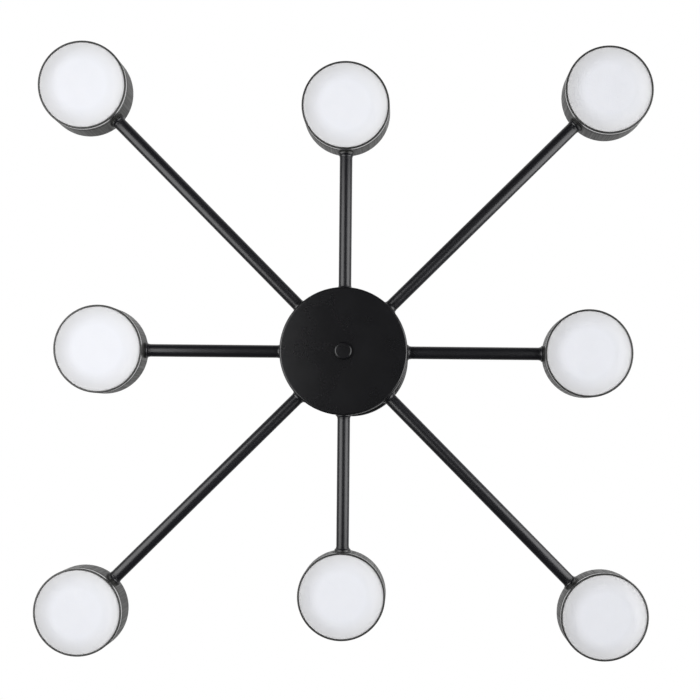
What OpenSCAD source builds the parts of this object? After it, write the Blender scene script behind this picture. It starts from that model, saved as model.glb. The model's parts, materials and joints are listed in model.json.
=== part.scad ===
// Semi-flush ceiling light: a round hub with eight straight arms, four long and four short,
// each ending in a flat drum head that turns on its arm. Millimetres, +Z up.
// The origin is the centre of the slot pattern, on the ceiling. The lamp hangs towards -Z.
// Arms 1, 3, 5 and 7 are the short ones, on +X, +Y, -X and -Y. Arms 2, 4, 6 and 8 are long.

/* [Overall] */
// Distance from the ceiling down to the hub's face
drop_h = 190; // [160:5:260]
// Distance from the lamp's axis to the middle of a head on a long arm
long_reach = 422.5; // [360:2.5:480]
// Distance from the lamp's axis to the middle of a head on a short arm
short_reach = 278.5; // [230:2.5:320]

/* [Hub] */
// Diameter of the hub
hub_d = 145.5; // [130:0.5:180]
// Height of the hub with its back plate
hub_h = 44; // [40:1:60]
// Thickness of the pressed hub shell
hub_wall = 1.5; // [1:0.1:2.5]
// Radius inside the bend between the hub's face and its side
hub_bend_r = 0.9; // [0.5:0.1:4]
// Thickness of the back plate
plate_t = 1.5; // [1:0.1:3]
// Depth of the back plate's locating rim
plate_rim_h = 3; // [2:0.5:5]
// Diameter of the finial
finial_d = 19.5; // [17:0.5:26]
// Height of the finial
finial_h = 6; // [5.5:0.5:12]

/* [Canopy and bracket] */
// Diameter of the canopy
canopy_d = 147; // [125:0.5:180]
// Depth of the canopy
canopy_h = 25; // [24:1:40]
// Thickness of the canopy
canopy_wall = 1.2; // [0.8:0.1:2]
// Radius inside the canopy's bend
canopy_bend_r = 1.6; // [0.5:0.1:5]
// Thickness of the bracket's strip
strip_t = 2; // [1.5:0.1:3]
// Width of the bracket's strip
strip_w = 20; // [18:1:30]
// Distance that the bracket's middle stands below the ceiling
strip_drop = 4; // [3.5:0.5:6]
// Distance between the middles of the two ceiling slots
slot_pitch = 88.9; // [80:0.1:100]
// Width of a ceiling slot
slot_w = 5; // [4:0.5:6]
// Length of a ceiling slot, end to end
slot_l = 11; // [8:0.5:14]
// Distance between the two studs that hold the canopy
stud_pitch = 56; // [46:1:60]

/* [Stem] */
// Outside diameter of the threaded stem rod
rod_d = 9.5; // [9:0.1:10]
// Bore of the stem rod
rod_bore = 6.5; // [6:0.1:7]
// Diameter of the supply lead's sheath
supply_d = 4.5; // [3.5:0.1:5]

/* [Arms] */
// Outside diameter of the arms and the stem
tube_d = 14.5; // [12:0.1:16]
// Wall of the tubes
tube_wall = 1; // [0.7:0.1:1.2]
// Diameter of a collar at its foot
collar_d = 18.4; // [16:0.1:22]
// Length of a collar
collar_l = 3.6; // [3:0.1:8]
// Diameter of a collar's thin end
collar_tip_d = 15; // [13:0.1:17]
// Diameter of the threaded ends of the arms
thread_d = 8; // [7:0.1:9]
// Bore through the threaded ends
thread_bore = 5; // [4:0.1:6]
// Diameter of the twin lead in an arm
lead_d = 3.2; // [2:0.1:3.6]

/* [Heads] */
// Diameter of a drum head
head_d = 100; // [90:1:120]
// Height of a drum head
head_h = 43; // [40:1:60]
// Wall of the drum's housing
housing_wall = 2.4; // [2:0.1:3.5]
// Rounding of the housing's back edge
housing_edge_r = 8; // [5:0.5:12]
// Depth of the trim ring
ring_h = 8; // [7.5:0.1:12]
// Width of the trim ring's front
ring_w = 2; // [1.8:0.05:4]
// Wall of the trim ring behind its lip
ring_wall = 1.2; // [0.8:0.05:1.5]
// Depth of the trim ring's lip
lip_h = 4; // [3:0.1:4.5]
// Rounding of the trim ring's front edge
ring_edge_r = 1; // [0.4:0.1:1.5]
// Distance that the diffuser's edge lies behind the trim ring's front
face_inset = 0.6; // [0.2:0.1:1.5]
// Distance that the diffuser's face stands out of the trim ring
face_out = 1.6; // [0:0.1:3]
// Width of the diffuser's rounded shoulder
shoulder_w = 12; // [8:0.1:20]
// Thickness of the diffuser
diffuser_t = 1.8; // [1.2:0.1:2.5]
// Diameter of the LED board
board_d = 86; // [70:1:90]

/* [Hidden] */
arm_count = 8;
arm_step = 360 / arm_count;
arms = [1:arm_count];

$fn = 96;
arc_steps = 6;
over = 1;               // overrun of a cut
fit = 0.05;             // gap round a thread or a plug, on the radius
seat_gap = 0.1;         // gap between pieces of one body that sit on each other
run_gap = 0.15;         // gap at the faces that turn on each other
hole_gap = 0.25;        // gap round a bolt in its clearance hole, on the radius

// Heights
face_z = -drop_h;
axis_z = face_z + hub_h / 2;
hub_top_z = face_z + hub_h;
shell_top_z = hub_top_z - plate_t;
strip_top_z = -strip_drop;
strip_low_z = strip_top_z - strip_t;

// Nuts and washers
rod_nut_w = 14;
rod_nut_h = 5;
rod_washer_d = 18;
washer_t = 1;
thread_nut_w = 13;
thread_nut_h = 4;
thread_washer_d = 14.5;
thread_out = 1.5;       // thread that shows past a nut
nut_flat_share = 0.75;  // share of a nut's height below its turned corners

// Bracket
slot_edge = 2.6;        // metal beyond a slot's ends
strip_l = slot_pitch + slot_l + 2 * slot_edge;
foot_l = slot_l + 2 * slot_edge;
entry_d = 12;
stud_d = 4;
stud_head_d = 8;
stud_head_h = 2.4;
earth_x = 16;
tongue_w = 32;
block_w = 30;
block_l = 16;
block_h = 12;
block_y = 30;
block_pitch = 10;
block_wire_d = 3.4;
block_screw_d = 3;
tongue_l = block_y + block_l / 2;
nut_ball_d = 10;
nut_neck_h = 4;
stud_in_nut = 5;

// Stem
rod_out = 2;            // thread that shows past the upper nut
rod_top_z = -canopy_h + canopy_wall + washer_t + rod_nut_h + rod_out;
rod_in_finial = 4;
supply_bend_r = 5.5;
supply_z = rod_top_z + supply_bend_r;
supply_turn_r = 6.5;
supply_turn_drop = 2;
supply_turn_z = axis_z - supply_turn_drop;

// Driver: a flat round can with a hole for the rod and its nut
driver_d = 100;
driver_h = 14;
driver_hole_d = 21;
driver_edge = 1.5;
driver_low_z = shell_top_z - driver_h;
driver_screw_y = 32;
screw_d = 3;
screw_head_d = 5.6;
screw_head_h = 2;
screw_in = 7;

// Arms, measured along the arm from the lamp's axis
hub_r = hub_d / 2;
collar_foot_l = 0.7;
collar_tip_l = 0.5;
flare_steps = 3;
tube_bore = tube_d - 2 * tube_wall;
tube_start = hub_r + collar_l;
plug_l = 12;
thread_in = 9;          // thread inside the hub's wall
lead_bend_r = 5;
lead_inset = 8;         // from the driver's edge to a lead
lead_turn_x = driver_d / 2 - lead_inset;

// Heads, measured from the head's own centre, with the arm on the -X side
head_r = head_d / 2;
front_z = -head_h / 2;
back_z = head_h / 2;
seam_z = front_z + ring_h;
seam_gap = 0.3;
seam_chamfer = 0.5;
lip_r = head_r - ring_w;
pocket_r = head_r - ring_wall;
flange_t = 1.6;
neck_out = 1.2;         // boss outside the drum
neck_in = 4.5;          // boss inside the drum
collar_face = head_r + neck_out + run_gap;
nut_face = head_r - neck_in - run_gap;
spigot_tip = nut_face - washer_t - thread_nut_h - thread_out;
board_t = 1.6;
board_depth = 12;
board_z = front_z + board_depth;
post_d = 6.5;
post_y = 30;
board_screw_in = 6;
led_ring_d = 52;
led_count = 8;
led_w = 3.5;
led_h = 0.8;
lead_gap = 0.2;
lead_out = 1;           // lead that shows past the spigot's tip
lead_straight = 3;
lead_tip = spigot_tip - lead_out;

function reach(i) = (i % 2 == 1) ? short_reach : long_reach;
function arc(x, y, r, from, to) =
    [for (k = [0:arc_steps]) let (a = from + (to - from) * k / arc_steps) [x + r * cos(a), y + r * sin(a)]];

// Turns an upright piece to lie along +X
module along_x() {
    rotate([0, 90, 0]) children();
}

// Places a piece in the frame of arm i, with its X axis on the arm
module at_arm(i) {
    rotate([0, 0, (i - 1) * arm_step]) translate([0, 0, axis_z]) children();
}

// Places a piece in the frame of head i
module at_head(i) {
    at_arm(i) translate([reach(i), 0, 0]) children();
}

// A pressed cup: closed at low_z, open at top_z, with rounded bends
module cup(r, wall, bend_r, low_z, top_z) {
    rotate_extrude() polygon(concat(
        [[0, low_z]],
        arc(r - wall - bend_r, low_z + wall + bend_r, wall + bend_r, -90, 0),
        [[r, top_z], [r - wall, top_z]],
        arc(r - wall - bend_r, low_z + wall + bend_r, bend_r, 0, -90),
        [[0, low_z + wall]]));
}

// Hexagon nut with its top corners turned off, from z = 0 up
module nut(w, h, bore_d) {
    corner_d = w / cos(30);
    difference() {
        intersection() {
            cylinder(d = corner_d, h = h, $fn = 6);
            union() {
                cylinder(d = corner_d, h = h * nut_flat_share);
                translate([0, 0, h * nut_flat_share])
                    cylinder(d1 = corner_d, d2 = w, h = h * (1 - nut_flat_share));
            }
        }
        translate([0, 0, -over]) cylinder(d = bore_d + 2 * fit, h = h + 2 * over);
    }
}

module washer(d, bore_d) {
    difference() {
        cylinder(d = d, h = washer_t);
        translate([0, 0, -over]) cylinder(d = bore_d + 2 * fit, h = washer_t + 2 * over);
    }
}

// Pan-head screw: head from z = 0 up, shank down
module screw(d, shank_l, head_d, head_h) {
    head_edge = head_h / 3;
    rotate_extrude() polygon(concat(
        [[0, -shank_l], [d / 2, -shank_l], [d / 2, 0], [head_d / 2, 0]],
        arc(head_d / 2 - head_edge, head_h - head_edge, head_edge, 0, 90),
        [[0, head_h]]));
}

// Turned collar, foot at z = 0: a short straight foot, a hollow flare, and a small step at the tube
module collar(bore_d) {
    flare_w = (collar_d - collar_tip_d) / 2;
    flare_l = collar_l - collar_tip_l - collar_foot_l;
    rotate_extrude() polygon(concat(
        [[bore_d / 2 + fit, 0], [collar_d / 2, 0]],
        [for (k = [0:flare_steps]) let (a = 90 * k / flare_steps)
            [collar_d / 2 - flare_w * sin(a), collar_foot_l + flare_l * (1 - cos(a))]],
        [[collar_tip_d / 2, collar_l], [bore_d / 2 + fit, collar_l]]));
}

// Slotted strip with two feet on the ceiling, a lowered middle and a tongue for the terminal block
module ceiling_bracket() {
    color("silver") difference() {
        union() {
            rotate([90, 0, 0]) translate([0, 0, -strip_w / 2]) linear_extrude(strip_w) polygon([
                [-strip_l / 2, 0],
                [-strip_l / 2 + foot_l, 0],
                [-strip_l / 2 + foot_l, strip_top_z],
                [strip_l / 2 - foot_l, strip_top_z],
                [strip_l / 2 - foot_l, 0],
                [strip_l / 2, 0],
                [strip_l / 2, -strip_t],
                [strip_l / 2 - foot_l + strip_t, -strip_t],
                [strip_l / 2 - foot_l + strip_t, strip_low_z],
                [-strip_l / 2 + foot_l - strip_t, strip_low_z],
                [-strip_l / 2 + foot_l - strip_t, -strip_t],
                [-strip_l / 2, -strip_t]]);
            translate([-tongue_w / 2, 0, strip_low_z]) cube([tongue_w, tongue_l, strip_t]);
        }
        for (side = [-1, 1]) translate([side * slot_pitch / 2, 0, -strip_t - over])
            linear_extrude(strip_t + 2 * over) union() {
                square([slot_l - slot_w, slot_w], center = true);
                for (end = [-1, 1]) translate([end * (slot_l - slot_w) / 2, 0]) circle(d = slot_w);
            }
        translate([0, 0, strip_low_z - over]) cylinder(d = entry_d, h = strip_t + 2 * over);
        for (x = [-stud_pitch / 2, stud_pitch / 2, earth_x])
            translate([x, 0, strip_low_z - over]) cylinder(d = stud_d + 2 * fit, h = strip_t + 2 * over);
        translate([0, block_y, strip_low_z - over]) cylinder(d = screw_d + 2 * fit, h = strip_t + 2 * over);
    }
}

// Two studs that hang the canopy, and the earth screw
module bracket_screws() {
    color("goldenrod") {
        for (side = [-1, 1]) translate([side * stud_pitch / 2, 0, strip_top_z])
            screw(stud_d, canopy_h - strip_drop + stud_in_nut, stud_head_d, stud_head_h);
        translate([earth_x, 0, strip_low_z]) mirror([0, 0, 1])
            screw(stud_d, strip_t + strip_drop / 2, stud_head_d, stud_head_h);
    }
}

// Three-pole terminal block under the tongue, with wire holes and clamping screw holes
module terminal_block() {
    low_z = strip_low_z - block_h;
    color("white") difference() {
        translate([-block_w / 2, block_y - block_l / 2, low_z]) cube([block_w, block_l, block_h]);
        for (k = [-1:1]) translate([k * block_pitch, 0, 0]) {
            translate([0, block_y - block_l / 2 - over, supply_z]) rotate([-90, 0, 0])
                cylinder(d = block_wire_d, h = block_l + 2 * over);
            for (side = [-1, 1]) translate([0, block_y + side * block_l / 4, low_z - over])
                cylinder(d = block_screw_d, h = supply_z - low_z + over);
        }
    }
}

// Upright stretch of a lead between two bends, drawn from both ends so that it meets each exactly
module upright_lead(d, low_z, top_z) {
    half_h = (top_z - low_z) / 2 + over;
    translate([0, 0, low_z]) cylinder(d = d, h = half_h);
    translate([0, 0, top_z]) mirror([0, 0, 1]) cylinder(d = d, h = half_h);
}

// Sheathed supply lead: terminal block, down the bore of the rod, out of its slot, up to the driver
module supply_lead() {
    end_y = block_y - block_l / 2;
    color("dimgray") union() {
        translate([0, supply_bend_r, supply_z]) rotate([-90, 0, 0])
            cylinder(d = supply_d, h = end_y - supply_bend_r);
        translate([0, supply_bend_r, rod_top_z]) rotate([0, -90, 0]) rotate([0, 0, -90])
            rotate_extrude(angle = 90) translate([supply_bend_r, 0]) circle(d = supply_d);
        upright_lead(supply_d, supply_turn_z, rod_top_z);
        translate([supply_turn_r, 0, supply_turn_z]) rotate([-90, 0, 0])
            rotate_extrude(angle = 180) translate([supply_turn_r, 0]) circle(d = supply_d);
        translate([2 * supply_turn_r, 0, supply_turn_z])
            cylinder(d = supply_d, h = driver_low_z - supply_turn_z);
    }
}

// Pressed canopy, open against the ceiling
module canopy() {
    color([0.12, 0.12, 0.13]) difference() {
        cup(canopy_d / 2, canopy_wall, canopy_bend_r, -canopy_h, 0);
        translate([0, 0, -canopy_h - over])
            cylinder(d = rod_d + 2 * hole_gap, h = canopy_wall + 2 * over);
        for (side = [-1, 1]) translate([side * stud_pitch / 2, 0, -canopy_h - over])
            cylinder(d = stud_d + 2 * hole_gap, h = canopy_wall + 2 * over);
    }
}

// Two domed nuts under the canopy
module canopy_nuts() {
    color([0.12, 0.12, 0.13]) for (side = [-1, 1])
        translate([side * stud_pitch / 2, 0, -canopy_h]) mirror([0, 0, 1]) difference() {
            rotate_extrude() polygon(concat(
                [[0, 0], [nut_ball_d / 2, 0]],
                arc(0, nut_neck_h, nut_ball_d / 2, 0, 90)));
            translate([0, 0, -over]) cylinder(d = stud_d + 2 * fit, h = stud_in_nut + seat_gap + over);
        }
}

module stem_tube() {
    low_z = hub_top_z + collar_l;
    color([0.12, 0.12, 0.13]) translate([0, 0, low_z]) difference() {
        cylinder(d = tube_d, h = -canopy_h - collar_l - low_z);
        translate([0, 0, -over]) cylinder(d = tube_bore, h = drop_h);
    }
}

// Hollow threaded rod from the canopy to the finial, slotted in the hub to let the lead out
module stem_rod() {
    low_z = face_z - rod_in_finial;
    slot_low_z = supply_turn_z - supply_turn_r - supply_d / 2 - hole_gap;
    color("silver") difference() {
        translate([0, 0, low_z]) cylinder(d = rod_d, h = rod_top_z - low_z);
        translate([0, 0, low_z - over]) cylinder(d = rod_bore, h = rod_top_z - low_z + 2 * over);
        translate([0, -supply_d / 2 - hole_gap, slot_low_z])
            cube([rod_d, supply_d + 2 * hole_gap, supply_turn_z - slot_low_z]);
    }
}

// A washer and nut on the rod in the canopy, and another pair under the hub's back plate
module stem_nuts() {
    color("silver") {
        translate([0, 0, -canopy_h + canopy_wall]) {
            washer(rod_washer_d, rod_d);
            translate([0, 0, washer_t]) nut(rod_nut_w, rod_nut_h, rod_d);
        }
        translate([0, 0, shell_top_z]) mirror([0, 0, 1]) {
            washer(rod_washer_d, rod_d);
            translate([0, 0, washer_t]) nut(rod_nut_w, rod_nut_h, rod_d);
        }
    }
}

// Pressed hub shell with a hole in its side for each arm
module hub_shell() {
    color([0.11, 0.11, 0.12]) difference() {
        cup(hub_r, hub_wall, hub_bend_r, face_z, shell_top_z);
        translate([0, 0, face_z - over]) cylinder(d = rod_d + 2 * hole_gap, h = hub_wall + 2 * over);
        for (i = arms) at_arm(i) translate([hub_r - 2 * hub_wall - over, 0, 0])
            along_x() cylinder(d = thread_d + 2 * hole_gap, h = 2 * hub_wall + 2 * over);
    }
}

// Back plate with a rim that locates it in the shell
module hub_back_plate() {
    rim_r = hub_r - hub_wall - seat_gap;
    color([0.12, 0.12, 0.13]) difference() {
        rotate_extrude() polygon([
            [0, hub_top_z],
            [hub_r - plate_t / 2, hub_top_z],
            [hub_r, hub_top_z - plate_t / 2],
            [hub_r, shell_top_z],
            [rim_r, shell_top_z],
            [rim_r, shell_top_z - plate_rim_h],
            [rim_r - plate_t, shell_top_z - plate_rim_h],
            [rim_r - plate_t, shell_top_z],
            [0, shell_top_z]]);
        translate([0, 0, shell_top_z - over]) cylinder(d = rod_d + 2 * hole_gap, h = plate_t + 2 * over);
        for (side = [-1, 1]) translate([0, side * driver_screw_y, shell_top_z - over])
            cylinder(d = screw_d + 2 * hole_gap, h = plate_t + 2 * over);
    }
}

// Two screws through the back plate into the driver
module hub_screws() {
    color("silver") for (side = [-1, 1]) translate([0, side * driver_screw_y, hub_top_z])
        screw(screw_d, plate_t + screw_in, screw_head_d, screw_head_h);
}

// Turned finial, a round button that closes the rod and clamps the hub shell
module finial() {
    edge = finial_h / 4;
    color([0.13, 0.13, 0.14]) translate([0, 0, face_z]) mirror([0, 0, 1]) difference() {
        rotate_extrude() polygon(concat(
            [[0, 0], [finial_d / 2 - edge / 2, 0], [finial_d / 2, edge / 2]],
            arc(finial_d / 2 - edge, finial_h - edge, edge, 0, 90),
            [[0, finial_h]]));
        translate([0, 0, -over]) cylinder(d = rod_d + 2 * fit, h = rod_in_finial + seat_gap + over);
    }
}

// Round driver can under the back plate, with a hole for the rod's nut
module led_driver() {
    color("gainsboro") difference() {
        rotate_extrude() polygon([
            [driver_hole_d / 2, shell_top_z],
            [driver_d / 2, shell_top_z],
            [driver_d / 2, driver_low_z + driver_edge],
            [driver_d / 2 - driver_edge, driver_low_z],
            [driver_hole_d / 2, driver_low_z]]);
        for (side = [-1, 1]) translate([0, side * driver_screw_y, shell_top_z - screw_in - seat_gap])
            cylinder(d = screw_d + 2 * fit, h = screw_in + seat_gap + over);
    }
}

// The collars: one at each end of every arm, saddle-cut at the hub, and two on the stem
module tube_collars() {
    color([0.1, 0.1, 0.11]) {
        for (i = arms) {
            difference() {
                at_arm(i) translate([hub_r - hub_wall, 0, 0]) along_x() union() {
                    translate([0, 0, hub_wall]) collar(thread_d);
                    difference() {
                        cylinder(d = collar_d, h = hub_wall);
                        translate([0, 0, -over]) cylinder(d = thread_d + 2 * fit, h = hub_wall + 2 * over);
                    }
                }
                translate([0, 0, face_z]) cylinder(r = hub_r + fit, h = hub_h);
            }
            at_head(i) translate([-collar_face, 0, 0]) mirror([1, 0, 0]) along_x() collar(thread_d);
        }
        translate([0, 0, hub_top_z]) collar(rod_d);
        translate([0, 0, -canopy_h]) mirror([0, 0, 1]) collar(rod_d);
    }
}

// Threaded nipples that plug into the arms and pass through the hub's wall
module arm_nipples() {
    start = hub_r - hub_wall - thread_in;
    color("silver") for (i = arms) at_arm(i) translate([start, 0, 0]) along_x() difference() {
        union() {
            cylinder(d = thread_d, h = tube_start - start);
            translate([0, 0, tube_start - start]) cylinder(d = tube_bore - 2 * fit, h = plug_l);
        }
        translate([0, 0, -over]) cylinder(d = thread_bore, h = tube_start - start + plug_l + 2 * over);
    }
}

// Nuts on the nipples inside the hub, with their corners against the curved wall
module hub_nuts() {
    inner_r = hub_r - hub_wall;
    corner_r = thread_nut_w / cos(30) / 2;
    seat = sqrt(inner_r * inner_r - corner_r * corner_r) - seat_gap;
    color("silver") for (i = arms) at_arm(i) translate([seat, 0, 0]) mirror([1, 0, 0]) along_x()
        nut(thread_nut_w, thread_nut_h, thread_d);
}

// Twin leads from the driver, along the middle of each arm and out of the spigot's tip
module arm_leads() {
    start = lead_turn_x + lead_bend_r;
    color("whitesmoke") for (i = arms) at_arm(i) union() {
        translate([start, 0, 0]) along_x() cylinder(d = lead_d, h = reach(i) - lead_tip - start);
        translate([start, 0, lead_bend_r]) rotate([90, 0, 0]) rotate([0, 0, 180])
            rotate_extrude(angle = 90) translate([lead_bend_r, 0]) circle(d = lead_d);
        translate([lead_turn_x, 0, lead_bend_r])
            cylinder(d = lead_d, h = driver_low_z - axis_z - lead_bend_r);
    }
}

module arm(i) {
    tube_l = reach(i) - collar_face - collar_l - tube_start;
    color([0.12, 0.12, 0.13]) at_arm(i) translate([tube_start, 0, 0]) along_x() difference() {
        cylinder(d = tube_d, h = tube_l);
        translate([0, 0, -over]) cylinder(d = tube_bore, h = tube_l + 2 * over);
    }
}

// Hollow spigots on which the heads turn: a plug in the tube, a smooth shank and a threaded tip
module swivel_spigots() {
    shank_l = collar_face + collar_l - spigot_tip;
    color("silver") for (i = arms) at_head(i) translate([-collar_face - collar_l - plug_l, 0, 0])
        along_x() difference() {
            union() {
                cylinder(d = tube_bore - 2 * fit, h = plug_l);
                translate([0, 0, plug_l]) cylinder(d = thread_d, h = shank_l);
            }
            translate([0, 0, -over]) cylinder(d = thread_bore, h = plug_l + shank_l + 2 * over);
        }
}

// A friction washer and lock nut on each spigot, inside the head
module swivel_nuts() {
    color("silver") for (i = arms) at_head(i) translate([-nut_face, 0, 0]) along_x() {
        washer(thread_washer_d, thread_d);
        translate([0, 0, washer_t]) nut(thread_nut_w, thread_nut_h, thread_d);
    }
}

// Drum housing: a cast cup with a rounded back, a neck boss, two board posts and a mouth that
// steps in to take the trim ring
module head_housing(i) {
    mouth_r = pocket_r - seat_gap;
    mouth_z = front_z + lip_h + flange_t + 2 * seat_gap;
    inner_r = head_r - housing_wall;
    bend_r = housing_edge_r - housing_wall;
    color([0.13, 0.13, 0.14]) at_head(i) difference() {
        union() {
            rotate_extrude() polygon(concat(
                [[0, back_z]],
                arc(head_r - housing_edge_r, back_z - housing_edge_r, housing_edge_r, 90, 0),
                [[head_r, seam_z + seam_chamfer], [head_r - seam_chamfer, seam_z]],
                [[mouth_r, seam_z], [mouth_r, mouth_z], [inner_r, mouth_z]],
                arc(inner_r - bend_r, back_z - housing_edge_r, bend_r, 0, 90),
                [[0, back_z - housing_wall]]));
            translate([-head_r - neck_out, 0, 0]) along_x() cylinder(d = collar_d, h = neck_out + neck_in);
            for (side = [-1, 1]) translate([0, side * post_y, board_z])
                cylinder(d = post_d, h = back_z - housing_wall / 2 - board_z);
        }
        translate([-head_r - neck_out - over, 0, 0]) along_x()
            cylinder(d = thread_d + 2 * fit, h = neck_out + neck_in + 2 * over);
        for (side = [-1, 1]) translate([0, side * post_y, board_z - over])
            cylinder(d = screw_d + 2 * fit, h = board_screw_in + seat_gap + over);
    }
}

// Trim ring: its lip holds the diffuser's flange against the mouth of the housing
module trim_ring(i) {
    color([0.1, 0.1, 0.11]) at_head(i) rotate_extrude() polygon(concat(
        [[lip_r, front_z]],
        arc(head_r - ring_edge_r, front_z + ring_edge_r, ring_edge_r, -90, 0),
        [[head_r, seam_z - seam_gap - seam_chamfer], [head_r - seam_chamfer, seam_z - seam_gap]],
        [[pocket_r, seam_z - seam_gap], [pocket_r, front_z + lip_h], [lip_r, front_z + lip_h]]));
}

// Opal diffuser: a shallow pan with a flat face, a domed shoulder, and a flange behind the lip
module diffuser(i) {
    rim_r = lip_r - 2 * seat_gap;
    flat_r = rim_r - shoulder_w;
    face = front_z - face_out;
    drop = face_out + face_inset;
    dome_r = (shoulder_w * shoulder_w + drop * drop) / (2 * drop);
    dome_angle = asin(shoulder_w / dome_r);
    wall_r = rim_r - diffuser_t;
    inner_dome_r = dome_r - diffuser_t;
    inner_angle = asin((wall_r - flat_r) / inner_dome_r);
    flange_z = front_z + lip_h + seat_gap;
    color([0.93, 0.94, 0.96]) at_head(i) rotate_extrude() polygon(concat(
        [[0, face]],
        arc(flat_r, face + dome_r, dome_r, -90, dome_angle - 90),
        [[rim_r, flange_z], [pocket_r - seat_gap, flange_z], [pocket_r - seat_gap, flange_z + flange_t]],
        [[wall_r, flange_z + flange_t]],
        arc(flat_r, face + dome_r, inner_dome_r, inner_angle - 90, -90),
        [[0, face + diffuser_t]]));
}

// LED board with a ring of chips, its two screws and the lead that turns with the head
module led_board(i) {
    lead_start = -lead_tip + lead_gap;
    color("ivory") at_head(i) {
        union() {
            difference() {
                translate([0, 0, board_z - board_t]) cylinder(d = board_d, h = board_t);
                for (side = [-1, 1]) translate([0, side * post_y, board_z - board_t - over])
                    cylinder(d = screw_d + 2 * hole_gap, h = board_t + 2 * over);
            }
            for (k = [1:led_count]) rotate([0, 0, (k - 0.5) * 360 / led_count])
                translate([led_ring_d / 2 - led_w / 2, -led_w / 2, board_z - board_t - led_h])
                    cube([led_w, led_w, led_h + board_t / 2]);
            translate([lead_start, 0, 0]) along_x() cylinder(d = lead_d, h = lead_straight);
            translate([lead_start + lead_straight, 0, -lead_bend_r]) rotate([90, 0, 0])
                rotate_extrude(angle = 90) translate([lead_bend_r, 0]) circle(d = lead_d);
            translate([lead_start + lead_straight + lead_bend_r, 0, -lead_bend_r]) mirror([0, 0, 1])
                cylinder(d = lead_d, h = board_t / 2 - board_z - lead_bend_r);
        }
        for (side = [-1, 1]) translate([0, side * post_y, board_z - board_t - seat_gap]) mirror([0, 0, 1])
            screw(screw_d, board_t + board_screw_in, screw_head_d, screw_head_h);
    }
}

ceiling_bracket();
bracket_screws();
terminal_block();
supply_lead();
canopy();
canopy_nuts();
stem_tube();
stem_rod();
stem_nuts();
hub_shell();
hub_back_plate();
hub_screws();
finial();
led_driver();
tube_collars();
arm_nipples();
hub_nuts();
arm_leads();
swivel_spigots();
swivel_nuts();
for (i = arms) {
    arm(i);
    head_housing(i);
    trim_ring(i);
    diffuser(i);
    led_board(i);
}
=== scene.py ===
import json
import math

import bmesh
import bpy
from mathutils import Matrix, Vector


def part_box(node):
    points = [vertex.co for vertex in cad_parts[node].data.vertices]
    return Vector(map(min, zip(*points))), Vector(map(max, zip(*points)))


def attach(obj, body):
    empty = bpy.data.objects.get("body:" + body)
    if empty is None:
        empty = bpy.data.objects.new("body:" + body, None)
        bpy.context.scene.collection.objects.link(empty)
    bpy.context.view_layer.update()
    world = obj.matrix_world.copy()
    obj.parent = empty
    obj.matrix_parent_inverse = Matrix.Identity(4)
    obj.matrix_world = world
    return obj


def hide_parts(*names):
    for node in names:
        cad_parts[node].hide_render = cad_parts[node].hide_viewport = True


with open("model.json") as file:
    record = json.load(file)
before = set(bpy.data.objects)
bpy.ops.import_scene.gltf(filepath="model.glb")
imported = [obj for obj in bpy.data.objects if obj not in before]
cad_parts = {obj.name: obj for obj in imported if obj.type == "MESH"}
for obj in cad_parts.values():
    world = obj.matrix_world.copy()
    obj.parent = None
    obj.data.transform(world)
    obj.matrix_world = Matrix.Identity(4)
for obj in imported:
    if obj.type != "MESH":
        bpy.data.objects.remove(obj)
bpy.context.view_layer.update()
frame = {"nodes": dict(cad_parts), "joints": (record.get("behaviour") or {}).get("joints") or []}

mm = 0.001

# Camera: it stands under the lamp and looks straight up, 1.29 m below the hub's face and a little to
# the right of and below the hub, as the photograph shows it. The lens shift frames all eight heads.
photo_side = 700
pixel = 1.1308 * mm  # the width of one pixel at the hub's face
camera_drop = 1290 * mm
axis_px = Vector((405, 419))  # where the lens's axis meets the picture
hub_px = Vector((343.3, 351.0))  # where the middle of the hub's face shows
roll = math.radians(0.53)
sensor = 36  # in millimetres, as Blender takes it
hub_low, hub_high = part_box("hub_shell")
face_z = hub_low.z
right = Vector((math.cos(roll), -math.sin(roll), 0))
down = Vector((math.sin(roll), math.cos(roll), 0))
away = (axis_px - hub_px) * pixel
camera = bpy.data.objects.new("camera", bpy.data.cameras.new("camera"))
bpy.context.scene.collection.objects.link(camera)
camera.matrix_world = Matrix.Translation(
    right * away.x + down * away.y + Vector((0, 0, face_z - camera_drop))
) @ Matrix((right, -down, Vector((0, 0, -1)))).transposed().to_4x4()
camera.data.sensor_width = sensor
camera.data.lens = sensor * camera_drop / pixel / photo_side
camera.data.shift_x = (photo_side / 2 - axis_px.x) / photo_side
camera.data.shift_y = (axis_px.y - photo_side / 2) / photo_side
bpy.context.scene.camera = camera
bpy.context.scene.view_settings.view_transform = "Standard"


# Studio: a white backdrop above and round the lamp, a pale floor 2.4 m below the ceiling, and plain
# soft boxes. Two of them show in glossy surfaces, left and right, and three light the matt ones.
def srgb(colour):
    """Linear red, green, blue and alpha of an sRGB colour such as #f0f0f0."""
    parts = [int(colour[i:i + 2], 16) / 255 for i in (1, 3, 5)]
    return [p / 12.92 if p <= 0.04045 else ((p + 0.055) / 1.055) ** 2.4 for p in parts] + [1]


def add(tree, kind, inputs=None, **settings):
    """Adds a node, sets its properties, and fills or links its input sockets. By number, a Map Range
    has its value in 0, its range in 1 and 2, and what that becomes in 3 and 4. A Mix has its share in
    0, numbers in 2 and 3, and colours in 6 and 7."""
    made = tree.nodes.new(kind)
    for name, value in settings.items():
        setattr(made, name, value)
    for socket, value in (inputs or {}).items():
        if isinstance(value, bpy.types.NodeSocket):
            tree.links.new(value, made.inputs[socket])
        else:
            made.inputs[socket].default_value = value
    return made


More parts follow.
